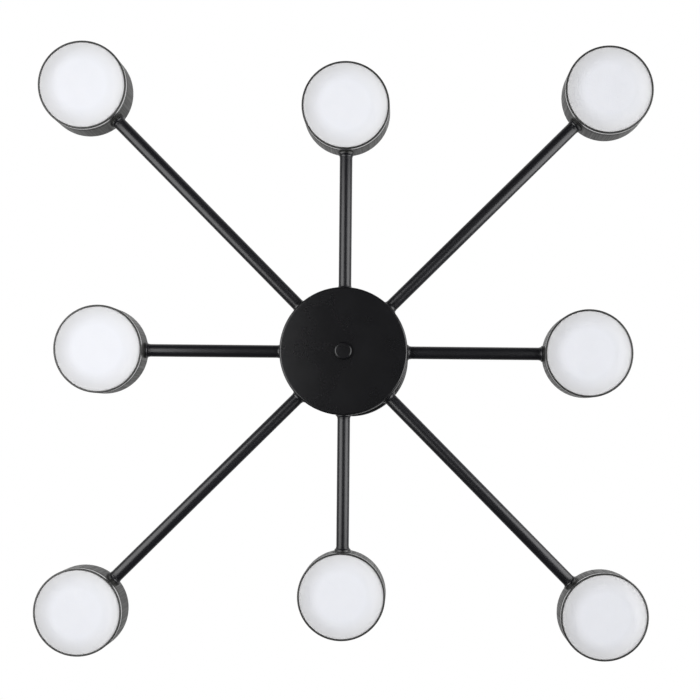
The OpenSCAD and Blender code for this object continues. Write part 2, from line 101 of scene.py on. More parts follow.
# Matt surfaces get an even light from the backdrop. Glossy ones mirror walls that darken from the
# picture's top to its bottom, and a ceiling that starts above them and is duller past the middle.
ambient, white = 0.26, 1
wall_top, wall_bottom = 0.55, 0.08
ceiling, ceiling_start, ceiling_full = 0.5, 0.3, 0.9
dull_share, dull_start, dull_full = 0.9, -0.1, 0.4
world = bpy.data.worlds.new("white backdrop")
world.use_nodes = True
bpy.context.scene.world = world
tree = world.node_tree
rays = add(tree, "ShaderNodeLightPath")
aim = add(tree, "ShaderNodeSeparateXYZ", {0: add(tree, "ShaderNodeTexCoord").outputs["Generated"]})
walls = add(tree, "ShaderNodeMapRange", {0: aim.outputs["Y"], 1: -1, 2: 1, 3: wall_top, 4: wall_bottom})
above = add(tree, "ShaderNodeMapRange", {0: aim.outputs["Z"], 1: ceiling_start, 2: ceiling_full,
                                         3: 0, 4: ceiling})
dulled = add(tree, "ShaderNodeMapRange", {0: aim.outputs["Y"], 1: dull_start, 2: dull_full,
                                          3: 1, 4: dull_share})
mirrored = add(tree, "ShaderNodeMath", {0: above.outputs[0], 1: dulled.outputs[0], 2: walls.outputs[0]},
               operation="MULTIPLY_ADD")
level = add(tree, "ShaderNodeMix", {0: rays.outputs["Is Glossy Ray"], 2: ambient, 3: mirrored.outputs[0]})
level = add(tree, "ShaderNodeMix", {0: rays.outputs["Is Camera Ray"], 2: level.outputs[0], 3: white})
tree.nodes["Background"].inputs["Color"].default_value = srgb("#ffffff")
tree.links.new(level.outputs[0], tree.nodes["Background"].inputs["Strength"])

# The floor looks almost white to the camera and keeps a little of its shading. It mirrors as grey.
floor_z, floor_reach, floor_glow = -2.4, 120, 0.85
floor_mesh = bpy.data.meshes.new("floor")
floor_mesh.from_pydata([(x * floor_reach, y * floor_reach, floor_z)
                        for x, y in ((-1, -1), (1, -1), (1, 1), (-1, 1))], [], [(0, 1, 2, 3)])
floor = bpy.data.objects.new("floor", floor_mesh)
bpy.context.scene.collection.objects.link(floor)
paint = bpy.data.materials.new("pale floor paint")
paint.use_nodes = True
tree = paint.node_tree
tree.nodes.remove(tree.nodes["Principled BSDF"])
rays = add(tree, "ShaderNodeLightPath")
shade = add(tree, "ShaderNodeMix", {0: rays.outputs["Is Glossy Ray"], 6: srgb("#f4f4f4"),
                                    7: srgb("#686868")}, data_type="RGBA")
matt = add(tree, "ShaderNodeBsdfDiffuse", {"Color": shade.outputs[2]})
glow = add(tree, "ShaderNodeEmission", {"Color": srgb("#ffffff")})
lift = add(tree, "ShaderNodeMath", {0: rays.outputs["Is Camera Ray"], 1: floor_glow}, operation="MULTIPLY")
lifted = add(tree, "ShaderNodeMixShader", {0: lift.outputs[0], 1: matt.outputs[0], 2: glow.outputs[0]})
tree.links.new(lifted.outputs[0], tree.nodes["Material Output"].inputs["Surface"])
floor_mesh.materials.append(paint)

# Each soft box: name, lean from straight down, bearing from +X, distance, width, length, radiance where
# 1 looks white, and whether it shows in glossy surfaces or lights matt ones.
soft_boxes = [("soft_box_left", 50, 180, 1.5, 1.5, 1.5, 4.0, True),
              ("soft_box_right", 66, 0, 1.5, 1.8, 1.5, 4.0, True),
              ("key_right", 84, 0, 5.0, 1.6, 2.5, 20.0, False),
              ("fill_left", 24, 192, 1.3, 0.7, 0.7, 5.6, False),
              ("light_above", 170, 120, 2.5, 2.0, 2.0, 2.5, False)]
for name, lean, bearing, distance, width, length, radiance, shows in soft_boxes:
    lamp = bpy.data.lights.new(name, "AREA")
    lamp.shape = "RECTANGLE"
    lamp.size, lamp.size_y = width, length
    lamp.energy = radiance * math.pi * width * length
    box = bpy.data.objects.new(name, lamp)
    bpy.context.scene.collection.objects.link(box)
    box.matrix_world = Matrix.Translation((0, 0, face_z)) \
        @ Matrix.Rotation(math.radians(bearing), 4, "Z") @ Matrix.Rotation(math.radians(-lean), 4, "Y") \
        @ Matrix.Translation((0, 0, -distance)) @ Matrix.Rotation(math.pi, 4, "X")
    box.visible_camera = False
    box.visible_glossy = shows
    box.visible_diffuse = not shows


# Ceiling bracket: a slotted strip of 2 mm steel, punched and bent, bright zinc plated. Two screws hold
# it to the ceiling, and its tongue carries the terminal block.
def bright_metal(name, dark, light):
    """Bright metal, zinc plated or freshly cut: a clear cold shine, clouded by handling. Its crystals
    are finer than 0.1 mm and are drawn at 0.4 mm, so that they show."""
    cloud_size, crystal_size, crystal_depth, crystal_show = 6 * mm, 0.4 * mm, 0.05 * mm, 0.15
    smoothest, roughest = 0.22, 0.42
    material = bpy.data.materials.new(name)
    material.use_nodes = True
    tree = material.node_tree
    metal = tree.nodes["Principled BSDF"]
    metal.inputs["Metallic"].default_value = 1
    where = add(tree, "ShaderNodeTexCoord")
    cloud = add(tree, "ShaderNodeTexNoise", {"Vector": where.outputs["Object"], "Scale": 1 / cloud_size,
                                             "Detail": 4})
    tint = add(tree, "ShaderNodeMix", {0: cloud.outputs["Fac"], 6: srgb(dark), 7: srgb(light)},
               data_type="RGBA")
    tree.links.new(tint.outputs[2], metal.inputs["Base Color"])
    rough = add(tree, "ShaderNodeMapRange", {0: cloud.outputs["Fac"], 3: smoothest, 4: roughest})
    tree.links.new(rough.outputs[0], metal.inputs["Roughness"])
    grain = add(tree, "ShaderNodeTexNoise", {"Vector": where.outputs["Object"], "Scale": 1 / crystal_size})
    bump = add(tree, "ShaderNodeBump", {"Strength": crystal_show, "Distance": crystal_depth,
                                        "Height": grain.outputs["Fac"]})
    tree.links.new(bump.outputs[0], metal.inputs["Normal"])
    return material


def finish_node(name, material, edge=0):
    """Gives a CAD node its finish, and its sharp edges a small rounding that catches the light."""
    weld_gap, sharp = 0.001 * mm, math.radians(40)
    piece = frame["nodes"][name]
    piece.data.materials.clear()
    piece.data.materials.append(material)
    if edge:
        weld = piece.modifiers.new("joined corners", "WELD")
        weld.merge_threshold = weld_gap
        bevel = piece.modifiers.new("broken edges", "BEVEL")
        bevel.width = edge
        bevel.segments = 2
        bevel.limit_method = "ANGLE"
        bevel.angle_limit = sharp


zinc = bright_metal("zinc plated steel", "#b4b6b9", "#d3d4d0")
finish_node("ceiling_bracket", zinc, edge=0.25 * mm)


# Canopy studs and earth screw: zinc plated M4 pan-head screws with a cross recess and rolled threads.
# The studs hang through the bracket down to the domed nuts. The earth screw sits beside them, yellow
# passivated so that it stands out.
def lathe(name, outline, steps=96, closed=True, shape=None):
    """A mesh turned round Z from (radius, height) points in metres. Points on the axis become one.
    shape(angle, radius, height) may move each point, as for a hexagon, a recess or a thread."""
    on_axis, smooth_below = 1e-9, math.radians(30)
    shell = bmesh.new()
    rows = []
    for radius, height in outline:
        row = []
        for k in range(steps if radius > on_axis else 1):
            a = 2 * math.pi * k / steps
            r, h = shape(a, radius, height) if shape else (radius, height)
            row.append(shell.verts.new((r * math.cos(a), r * math.sin(a), h)))
        rows.append(row)
    for low, high in zip(rows, rows[1:] + rows[:1] if closed else rows[1:]):
        if len(low) == 1 and len(high) == 1:
            continue
        for k in range(steps):
            corners = [low[k % len(low)], low[(k + 1) % len(low)], high[(k + 1) % len(high)],
                       high[k % len(high)]]
            shell.faces.new(dict.fromkeys(corners))
    bmesh.ops.recalc_face_normals(shell, faces=shell.faces)
    mesh = bpy.data.meshes.new(name)
    shell.to_mesh(mesh)
    shell.free()
    mesh.shade_smooth()
    mesh.set_sharp_from_angle(angle=smooth_below)
    return mesh


def rounded(corners, steps=5):
    """An outline from (x, y) or (x, y, radius) corners, each with a radius made an arc."""
    points = []
    for k, corner in enumerate(corners):
        here = Vector(corner[:2])
        if len(corner) == 2:
            points.append(tuple(here))
            continue
        before = (Vector(corners[k - 1][:2]) - here).normalized()
        after = (Vector(corners[(k + 1) % len(corners)][:2]) - here).normalized()
        half = before.angle(after) / 2
        middle = here + (before + after).normalized() * corner[2] / math.sin(half)
        start = here + before * corner[2] / math.tan(half) - middle
        end = here + after * corner[2] / math.tan(half) - middle
        turn = start.angle_signed(end)
        for j in range(steps + 1):
            a = -turn * j / steps
            points.append((middle.x + start.x * math.cos(a) - start.y * math.sin(a),
                           middle.y + start.x * math.sin(a) + start.y * math.cos(a)))
    return points


def place(name, mesh, material, body, slot, *nodes, at=None):
    """Puts a mesh in the lamp: its place, finish, the body that it rides on and the nodes it stands for."""
    piece = bpy.data.objects.new(name, mesh)
    bpy.context.scene.collection.objects.link(piece)
    if at is not None:
        piece.matrix_world = at
    mesh.materials.clear()
    mesh.materials.append(material)
    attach(piece, body)
    if nodes:
        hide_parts(*nodes)


def thread_rows(low, high, radius, pitch):
    """Outline points up a threaded stretch, close enough to draw its helix."""
    rows_a_turn = 6
    count = round(rows_a_turn * (high - low) / pitch)
    return [(radius, low + (high - low) * k / count) for k in range(count + 1)]


def thread(radius, pitch, low, high):
    """The shape of a rolled thread on the points at that radius: a helix with a V-shaped groove."""
    depth, same = 0.6 * pitch, 1e-6

    def shape(angle, r, h):
        if abs(r - radius) > same or not low < h < high:
            return r, h
        turn = (h / pitch - angle / (2 * math.pi)) % 1
        return r - depth * abs(2 * turn - 1), h
    return shape


def pan_screw(name, shank_r, shank_l, head_r, head_h, pitch):
    """A pan-head screw with a cross recess and a thread: head from height 0 up, shank down."""
    neck, crown = 0.05 * mm, 0.6 * head_h
    cross_half, cross_r, cross_depth = 0.16 * head_r, 0.55 * head_r, 0.6 * head_h
    mouth_half, flank_w = 1.4 * cross_half, 0.8 * cross_half
    rings, outer_ring, steps = 16, 13, 48
    helix = thread(shank_r, pitch, -shank_l, 0)

    def shape(angle, r, h):
        if h <= 0:
            return helix(angle, r, h)
        x, y = abs(r * math.cos(angle)), abs(r * math.sin(angle))
        inside = min(max((mouth_half - min(x, y)) / flank_w, 0), 1)
        return r, h - (cross_depth * inside if r < cross_r else 0)
    top = [(head_r * k / rings, head_h) for k in range(outer_ring, -1, -1)]
    outline = [(0, -shank_l)] + thread_rows(-shank_l, -neck, shank_r, pitch) + [
        (shank_r, 0)] + rounded([(head_r, 0), (head_r, head_h, crown), (0, head_h)])[:-1] + top
    return lathe(name, outline, steps, closed=False, shape=shape)


stud_pitch, stud_r, stud_head_r, stud_head_h = 56 * mm, 2 * mm, 4 * mm, 2.4 * mm
stud_thread = 0.7 * mm
low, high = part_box("bracket_screws")
strip_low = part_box("ceiling_bracket")[0].z
strip_t = 2 * mm
stud_top = strip_low + strip_t
stud = pan_screw("canopy_stud", stud_r, stud_top - low.z, stud_head_r, stud_head_h, stud_thread)
for side, name in ((-1, "left"), (1, "right")):
    place(f"canopy_stud_{name}", stud, zinc, "lamp_frame", "zinc_steel", "bracket_screws",
          at=Matrix.Translation((side * stud_pitch / 2, 0, stud_top)))
yellow_zinc = bright_metal("yellow passivated zinc", "#b39a5c", "#cdb87c")
earth_x, earth_l = 16 * mm, 4 * mm
earth = pan_screw("earth_screw", stud_r, earth_l, stud_head_r, stud_head_h, stud_thread)
place("earth_screw", earth, yellow_zinc, "lamp_frame", "zinc_steel", "bracket_screws",
      at=Matrix.Translation((earth_x, 0, strip_low)) @ Matrix.Rotation(math.pi, 4, "X"))


# Terminal block: three poles in a moulded nylon body under the bracket's tongue, each with two small
# clamping screws that show in their shafts.
def moulding(name, dark, light, roughness, grain):
    """Plastic, moulded or extruded: an even colour, a sheen that varies a little, and a fine grain. The
    real grain is about 0.1 mm and is drawn coarser, so that it shows."""
    cloud_size, vary, grain_depth, grain_show = 15 * mm, 0.05, 0.1 * grain, 0.2
    material = bpy.data.materials.new(name)
    material.use_nodes = True
    tree = material.node_tree
    plastic = tree.nodes["Principled BSDF"]
    where = add(tree, "ShaderNodeTexCoord")
    cloud = add(tree, "ShaderNodeTexNoise", {"Vector": where.outputs["Object"], "Scale": 1 / cloud_size,
                                             "Detail": 3})
    tint = add(tree, "ShaderNodeMix", {0: cloud.outputs["Fac"], 6: srgb(dark), 7: srgb(light)},
               data_type="RGBA")
    tree.links.new(tint.outputs[2], plastic.inputs["Base Color"])
    rough = add(tree, "ShaderNodeMapRange", {0: cloud.outputs["Fac"], 3: roughness - vary,
                                             4: roughness + vary})
    tree.links.new(rough.outputs[0], plastic.inputs["Roughness"])
    pits = add(tree, "ShaderNodeTexNoise", {"Vector": where.outputs["Object"], "Scale": 1 / grain,
                                            "Detail": 2})
    bump = add(tree, "ShaderNodeBump", {"Strength": grain_show, "Distance": grain_depth,
                                        "Height": pits.outputs["Fac"]})
    tree.links.new(bump.outputs[0], plastic.inputs["Normal"])
    return material


nylon = moulding("moulded nylon", "#dedacd", "#ece9df", roughness=0.42, grain=0.5 * mm)
finish_node("terminal_block", nylon, edge=0.5 * mm)
block_low, block_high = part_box("terminal_block")
pole_pitch, clamp_r, clamp_l, clamp_sunk = 10 * mm, 1.4 * mm, 3 * mm, 3.5 * mm
slot_half, slot_depth, clamp_rings = 0.25 * mm, 0.5 * mm, 10
clamp = lathe("clamp_screw", [(0, clamp_l), (clamp_r, clamp_l)] + [
    (clamp_r * k / clamp_rings, 0) for k in range(clamp_rings, -1, -1)], steps=48, closed=False,
    shape=lambda a, r, h: (r, h + slot_depth if h < clamp_l and abs(r * math.sin(a)) < slot_half else h))
for pole in (-1, 0, 1):
    for row, share in (("in", 0.25), ("out", 0.75)):
        at = Vector((pole * pole_pitch, block_low.y + share * (block_high.y - block_low.y),
                     block_low.z + clamp_sunk))
        place(f"clamp_screw_{row}_{pole + 2}", clamp, zinc, "lamp_frame", "zinc_steel",
              at=Matrix.Translation(at))

# Supply lead and the arms' leads: round PVC sheath, extruded smooth and slightly waxy. The terminal
# block holds the first at its upper end, and the others run from the driver out through the arms.
sheath = moulding("PVC sheath", "#cfcfcb", "#dcdcd8", roughness=0.45, grain=0.8 * mm)
finish_node("supply_lead", sheath)
finish_node("arm_leads", sheath)


# Canopy: a cup of 1.2 mm steel, deep drawn with a rounded edge, black powder coated. Two domed knurled
# nuts pull it up against the ceiling.
def powder_coat(name, dark, light, roughness, streaks=0, ior=1.5):
    """Satin black powder coat: near black, with a soft sheen that a fine orange peel breaks. streaks sets
    how strongly lines along the piece's Z show through, as on an extruded wall. The real lines are about
    0.3 mm wide and are drawn at 1.5 mm, so that they show."""
    cloud_size, line_size, line_stretch, peel_size = 40 * mm, 1.5 * mm, 50, 2.5 * mm
    least, most = 0.3, 0.7  # where nearly all of a noise lies
    spread = 0.02 + 0.2 * streaks
    peel_depth, peel_show = 0.05 * mm, 0.05
    material = bpy.data.materials.new(name)
    material.use_nodes = True
    tree = material.node_tree
    coat = tree.nodes["Principled BSDF"]
    coat.inputs["IOR"].default_value = ior
    where = add(tree, "ShaderNodeTexCoord")
    cloud = add(tree, "ShaderNodeTexNoise", {"Vector": where.outputs["Object"], "Scale": 1 / cloud_size,
                                             "Detail": 3})
    drawn = add(tree, "ShaderNodeMapping", {0: where.outputs["Object"], 3: (1, 1, 1 / line_stretch)})
    lines = add(tree, "ShaderNodeTexNoise", {"Vector": drawn.outputs[0], "Scale": 1 / line_size,
                                             "Detail": 4})
    both = add(tree, "ShaderNodeMix", {0: streaks, 2: cloud.outputs["Fac"], 3: lines.outputs["Fac"]})
    tint = add(tree, "ShaderNodeMix", {0: both.outputs[0], 6: srgb(dark), 7: srgb(light)},
               data_type="RGBA")
    tree.links.new(tint.outputs[2], coat.inputs["Base Color"])
    rough = add(tree, "ShaderNodeMapRange", {0: both.outputs[0], 1: least, 2: most, 3: roughness - spread,
                                             4: roughness + spread})
    tree.links.new(rough.outputs[0], coat.inputs["Roughness"])
    peel = add(tree, "ShaderNodeTexNoise", {"Vector": where.outputs["Object"], "Scale": 1 / peel_size,
                                            "Detail": 1})
    height = add(tree, "ShaderNodeMath", {0: lines.outputs["Fac"], 1: streaks, 2: peel.outputs["Fac"]},
                 operation="MULTIPLY_ADD")
    bump = add(tree, "ShaderNodeBump", {"Strength": peel_show, "Distance": peel_depth,
                                        "Height": height.outputs[0]})
    tree.links.new(bump.outputs[0], coat.inputs["Normal"])
    return material


black = powder_coat("black powder coat", "#09090c", "#0c0c10", roughness=0.28)
low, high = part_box("canopy")
canopy_r, canopy_low = high.x, low.z
canopy_wall, canopy_bend, canopy_edge, rod_clear = 1.2 * mm, 2.8 * mm, 0.3 * mm, 0.25 * mm
rod_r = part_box("stem_rod")[1].x
canopy_outline = rounded([
    (rod_r + rod_clear, canopy_low),
    (canopy_r, canopy_low, canopy_bend),
    (canopy_r, high.z, canopy_edge),
    (canopy_r - canopy_wall, high.z, canopy_edge),
    (canopy_r - canopy_wall, canopy_low + canopy_wall, canopy_bend - canopy_wall),
    (rod_r + rod_clear, canopy_low + canopy_wall)], steps=8)
canopy_mesh = lathe("canopy_cup", canopy_outline, steps=256)
place("canopy_cup", canopy_mesh, black, "lamp_frame", "black_steel", "canopy")

low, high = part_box("canopy_nuts")
nut_r = (high.y - low.y) / 2
nut_h = high.z - low.z
knurl_depth, knurl_count, knurl_low = 0.25 * mm, 32, 0.3 * mm
nut_foot, nut_shoulder, dome_in, dome_rows = 0.4 * mm, 0.6 * mm, 0.5 * mm, 10
nut_outline = rounded([(0, 0), (nut_r, 0, nut_foot), (nut_r, nut_h - nut_r, nut_shoulder)])[:-1] + [
    ((nut_r - dome_in) * math.cos(a), nut_h - nut_r + nut_r * math.sin(a))
    for a in (math.pi / 2 * k / dome_rows for k in range(1, dome_rows + 1))]
nut_outline[-1] = (0, nut_h)
domed = lathe("domed_nut", nut_outline, steps=6 * knurl_count, closed=False, shape=lambda a, r, h: (
    r - knurl_depth * (0.5 + 0.5 * math.cos(knurl_count * a)) if knurl_low < h < nut_h - nut_r else r, h))
for side, name in ((-1, "left"), (1, "right")):
    place(f"domed_nut_{name}", domed, black, "lamp_frame", "black_steel", "canopy_nuts",
          at=Matrix.Translation((side * stud_pitch / 2, 0, canopy_low)) @ Matrix.Rotation(math.pi, 4, "X"))

# Stem: a tube of the arms' size over a hollow threaded rod. The rod carries the lamp by a washer and a
# hexagon nut in the canopy and another pair in the hub.
low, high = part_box("stem_tube")
tube_r, tube_wall, tube_edge = high.x, 1 * mm, 0.15 * mm
stem = rounded([(tube_r - tube_wall, low.z), (tube_r, low.z, tube_edge), (tube_r, high.z, tube_edge),
                (tube_r - tube_wall, high.z)])
place("stem", lathe("stem", stem), black, "lamp_frame", "black_steel", "stem_tube")

low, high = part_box("stem_rod")
rod_bore_r, rod_pitch = 3.25 * mm, 1 * mm
rod_outline = [(rod_bore_r, high.z), (rod_bore_r, low.z)] + thread_rows(low.z, high.z, rod_r, rod_pitch)
rod = lathe("threaded_rod", rod_outline, steps=48, shape=thread(rod_r, rod_pitch, low.z, high.z))
place("threaded_rod", rod, zinc, "lamp_frame", "zinc_steel", "stem_rod")


def hexagon(width, height):
    """The shape of a hexagon nut with turned corners, on points outside its inscribed circle."""
    corner_slope = 1.7

    def shape(angle, r, h):
        if r < width / 2:
            return r, h
        flat = width / 2 / math.cos((angle + math.pi / 6) % (math.pi / 3) - math.pi / 6)
        from_end = min(h, height - h)
        return min(flat, width / 2 + corner_slope * from_end), h
    return shape


nut_w, nut_h, washer_r, washer_t = 14 * mm, 5 * mm, 9 * mm, 1 * mm
washer_foot, washer_edge = 0.15 * mm, 0.3 * mm
corner_r = nut_w / 2 / math.cos(math.pi / 6)
turned = [0, 0.25 * mm, 0.5 * mm, 0.75 * mm]  # how far from each end the corners are turned away
nut_outline = [(rod_r, nut_h), (rod_r, 0)] + [
    (corner_r, h) for h in turned + [nut_h - h for h in reversed(turned)]]
hex_nut = lathe("hexagon_nut", nut_outline, shape=hexagon(nut_w, nut_h))
washer = lathe("washer", rounded([
    (rod_r, 0), (washer_r, 0, washer_foot), (washer_r, washer_t, washer_edge), (rod_r, washer_t)]))
plate_under = hub_high.z
for name, height, turn in (("canopy", canopy_low + canopy_wall, 0), ("hub", plate_under, math.pi)):
    at = Matrix.Translation((0, 0, height)) @ Matrix.Rotation(turn, 4, "X")
    place(f"rod_washer_{name}", washer, zinc, "lamp_frame", "zinc_steel", "stem_nuts", at=at)
    place(f"rod_nut_{name}", hex_nut, zinc, "lamp_frame", "zinc_steel", "stem_nuts",
          at=at @ Matrix.Translation((0, 0, washer_t)))

# Hub shell: a cup of 1.5 mm steel, pressed with a small bend round its flat face, powder coated. A
# pressed back plate closes it, held by two screws. The coat is duller on the side walls of both than on
# the flats, as the photograph shows it.
hub_r, hub_wall, hub_bend, hub_edge = hub_high.x, 1.5 * mm, 2.4 * mm, 0.2 * mm
hub_outline = rounded([
    (rod_r + rod_clear, face_z),
    (hub_r, face_z, hub_bend),
    (hub_r, hub_high.z, hub_edge),
    (hub_r - hub_wall, hub_high.z),
    (hub_r - hub_wall, face_z + hub_wall, hub_bend - hub_wall),
    (rod_r + rod_clear, face_z + hub_wall)], steps=8)
hub_black = powder_coat("black powder coat on hub", "#09090c", "#0c0c10", roughness=0.28)
side_roughness, side_tilt = 0.6, 0.25  # side turns to flat as the normal's height goes from 0 to side_tilt
tree = hub_black.node_tree
coat = tree.nodes["Principled BSDF"]
facing = add(tree, "ShaderNodeSeparateXYZ", {0: add(tree, "ShaderNodeTexCoord").outputs["Normal"]})
upright = add(tree, "ShaderNodeMath", {0: facing.outputs["Z"]}, operation="ABSOLUTE")
flat_rough = coat.inputs["Roughness"].links[0].from_socket
rough = add(tree, "ShaderNodeMapRange", {0: upright.outputs[0], 1: 0, 2: side_tilt, 3: side_roughness,
                                         4: flat_rough})
tree.links.new(rough.outputs[0], coat.inputs["Roughness"])
hub_mesh = lathe("hub_cup", hub_outline, steps=256)
place("hub_cup", hub_mesh, hub_black, "lamp_frame", "black_steel", "hub_shell")
low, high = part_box("hub_back_plate")
plate_t, plate_gap, plate_top = high.z - plate_under, 0.1 * mm, high.z
plate_edge, plate_lip, plate_foot, plate_bend = 0.8 * mm, 0.2 * mm, 0.3 * mm, 0.5 * mm
rim_r = hub_r - hub_wall - plate_gap
plate_outline = rounded([
    (rod_r + rod_clear, plate_top),
    (hub_r, plate_top, plate_edge),
    (hub_r, plate_under, plate_lip),
    (rim_r, plate_under),
    (rim_r, low.z, plate_foot),
    (rim_r - plate_t, low.z, plate_foot),
    (rim_r - plate_t, plate_under, plate_bend),
    (rod_r + rod_clear, plate_under)], steps=6)
plate_mesh = lathe("back_plate", plate_outline, steps=256)
place("back_plate", plate_mesh, hub_black, "lamp_frame", "black_steel", "hub_back_plate")
low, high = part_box("hub_screws")
plate_screw_y, plate_screw_r, plate_head_r, plate_thread = 32 * mm, 1.5 * mm, 2.8 * mm, 0.5 * mm
plate_screw = pan_screw("plate_screw", plate_screw_r, plate_top - low.z, plate_head_r,
                        high.z - plate_top, plate_thread)
for side, name in ((-1, "front"), (1, "back")):
    place(f"plate_screw_{name}", plate_screw, zinc, "lamp_frame", "zinc_steel", "hub_screws",
          at=Matrix.Translation((0, side * plate_screw_y, plate_top)))

# Finial: a solid round button turned from bar, coated as the hub is, that screws on the rod's end and
# clamps the shell. Its rounded edge shows as two thin arcs of light.
low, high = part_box("finial")
finial_foot, finial_edge = 0.4 * mm, 1.8 * mm
finial_outline = rounded([
    (0, high.z), (high.x, high.z, finial_foot), (high.x, low.z, finial_edge), (0, low.z)], steps=8)
button = lathe("finial_button", finial_outline, steps=128)
place("finial_button", button, black, "lamp_frame", "black_steel", "finial")

# Driver: a flat round can of white moulded plastic, out of sight between the hub's plate and its face,
# with the rod's nut in its middle. The zinc plated nipples and nuts of the arms lie round it, and the
# spigots and lock nuts of the heads at the arms' far ends.
can = moulding("moulded driver housing", "#c9c9c5", "#d6d6d2", roughness=0.5, grain=0.6 * mm)
finish_node("led_driver", can, edge=0.4 * mm)
for name in ("arm_nipples", "hub_nuts", "swivel_spigots", "swivel_nuts"):
    finish_node(name, zinc, edge=0.1 * mm)

# Arms: straight steel tubes, four short and four long, powder coated in a black a little paler than the
# hub's. A collar turned with a hollow flare seats each end, and two more seat the stem.
tube_black = powder_coat("black powder coat on tube", "#111115", "#15151a", roughness=0.32)
collar_l, collar_foot, collar_tip = 3.6 * mm, 0.7 * mm, 0.5 * mm
collar_r, collar_tip_r, thread_r = 9.2 * mm, 7.5 * mm, 4 * mm
collar_sunk, collar_edge = 0.8 * mm, 0.2 * mm
flare_steps = 10


def collar_mesh(bore_r, sunk=0.0):
    """A collar from height 0 up, its foot sunk that far below, with a hollow flare up to its tip."""
    flare_l = collar_l - collar_foot - collar_tip
    flare = [(collar_r - (collar_r - collar_tip_r) * math.sin(a), collar_foot + flare_l * (1 - math.cos(a)))
             for a in (math.pi / 2 * k / flare_steps for k in range(flare_steps + 1))]
    tip = [(collar_tip_r, collar_l - collar_edge), (collar_tip_r - collar_edge, collar_l),
           (bore_r, collar_l)]
    return lathe("collar", [(bore_r, -sunk), (collar_r, -sunk)] + flare + tip)


stem_collar = collar_mesh(rod_r)
for name, height, turn in (("hub", plate_top, 0), ("canopy", canopy_low, math.pi)):
    place(f"stem_collar_{name}", stem_collar, tube_black, "lamp_frame", "black_steel", "tube_collars",
          at=Matrix.Translation((0, 0, height)) @ Matrix.Rotation(turn, 4, "X"))

pivot = Vector(frame["joints"][0]["pos_m"])
housing_low, housing_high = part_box("head_housing_1")
head_r = housing_high.x - pivot.x
neck_face = pivot.x - housing_low.x
run_gap = 0.15 * mm
hub_collar, head_collar = collar_mesh(thread_r, sunk=collar_sunk), collar_mesh(thread_r)
for joint in frame["joints"]:
    number = joint["name"].split("_")[1]
    centre = Vector(joint["pos_m"])
    turn = Matrix.Rotation(math.atan2(centre.y, centre.x), 4, "Z")
    along = Matrix.Translation((0, 0, centre.z)) @ turn @ Matrix.Rotation(math.pi / 2, 4, "Y")
    start = hub_r + collar_l
    end = centre.xy.length - neck_face - run_gap - collar_l
    tube = rounded([(tube_r - tube_wall, start), (tube_r, start, tube_edge), (tube_r, end, tube_edge),
                    (tube_r - tube_wall, end)])
    place(f"arm_tube_{number}", lathe("arm_tube", tube), tube_black, "lamp_frame", "black_steel",
          f"arm_{number}", at=along)
    place(f"hub_collar_{number}", hub_collar, tube_black, "lamp_frame", "black_steel", "tube_collars",
          at=along @ Matrix.Translation((0, 0, hub_r)))
    place(f"head_collar_{number}", head_collar, tube_black, "lamp_frame", "black_steel", "tube_collars",
          at=along @ Matrix.Translation((0, 0, end + collar_l)) @ Matrix.Rotation(math.pi, 4, "X"))

# Head housings: an aluminium drum with a rounded back, extruded and powder coated, so that fine lines
# run down its side, which shines more than the hub's. Its neck boss turns on the arm's spigot.
# Its black is paler than the hub's: painted sheen, which lifts its side walls toward the brightness of
# their grazing reflection.
satin = powder_coat("coated extruded aluminium", "#191918", "#262624", roughness=0.46, streaks=0.8,
                    ior=1.65)
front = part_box("trim_ring_1")[0].z - pivot.z
back = housing_high.z - pivot.z
housing_wall, back_edge, seat_gap = 2.4 * mm, 8 * mm, 0.1 * mm
ring_w, ring_wall, ring_h, lip_h, flange_t = 2 * mm, 1.2 * mm, 8 * mm, 4 * mm, 1.6 * mm
seam, seam_edge = 0.3 * mm, 0.9 * mm
mouth_r = head_r - ring_wall - seat_gap
mouth_z = front + lip_h + flange_t + 2 * seat_gap
drum_mesh = lathe("drum", rounded([
    (0, back),
    (head_r, back, back_edge),
    (head_r, front + ring_h, seam_edge),
    (mouth_r, front + ring_h),
    (mouth_r, mouth_z),
    (head_r - housing_wall, mouth_z),
    (head_r - housing_wall, back - housing_wall, back_edge - housing_wall),
    (0, back - housing_wall)], steps=12), steps=256)
neck_in, neck_edge = 4.5 * mm, 0.25 * mm
neck_mesh = lathe("neck_boss", rounded([
    (thread_r, head_r - neck_in), (collar_r, head_r - neck_in), (collar_r, neck_face, neck_edge),
    (thread_r, neck_face)]))
heads = []
for joint in frame["joints"]:
    number, body, centre = joint["name"].split("_")[1], joint["child"], Vector(joint["pos_m"])
    at = Matrix.Translation(centre)
    inward = at @ Matrix.Rotation(math.atan2(centre.y, centre.x), 4, "Z") \
        @ Matrix.Rotation(-math.pi / 2, 4, "Y")
    heads.append((number, body, at))
    place(f"drum_{number}", drum_mesh, satin, body, "black_aluminium", f"head_housing_{number}", at=at)
    place(f"neck_boss_{number}", neck_mesh, satin, body, "black_aluminium", f"head_housing_{number}",
          at=inward)

# Trim rings: turned aluminium, coated as the drums are. Each closes its drum's mouth and holds the
# diffuser. A fine band of bright bare metal is set round its side: a painted highlight, standing for the
# light that the ring's front edge catches.
ring_lip, ring_edge = 0.25 * mm, 1 * mm
line_z, line_h, line_t = 1.4 * mm, 2 * mm, 0.4 * mm
line_low, line_high, line_r = front + line_z, front + line_z + line_h, head_r - line_t
ring_mesh = lathe("front_ring", rounded([
    (head_r - ring_w, front, ring_lip),
    (head_r, front, ring_edge),
    (head_r, line_low),
    (line_r, line_low),
    (line_r, line_high),
    (head_r, line_high),
    (head_r, front + ring_h - seam, seam_edge),
    (head_r - ring_wall, front + ring_h - seam),
    (head_r - ring_wall, front + lip_h),
    (head_r - ring_w, front + lip_h)], steps=8), steps=256)
# The band of bright bare metal is a painted highlight for the ring's front edge.
line_mesh = lathe("painted_highlight_line", [
    (line_r, line_low), (head_r, line_low), (head_r, line_high), (line_r, line_high)], steps=256)
highlight_metal = bright_metal("bright metal for the painted highlight line", "#ececee", "#f6f6f7")
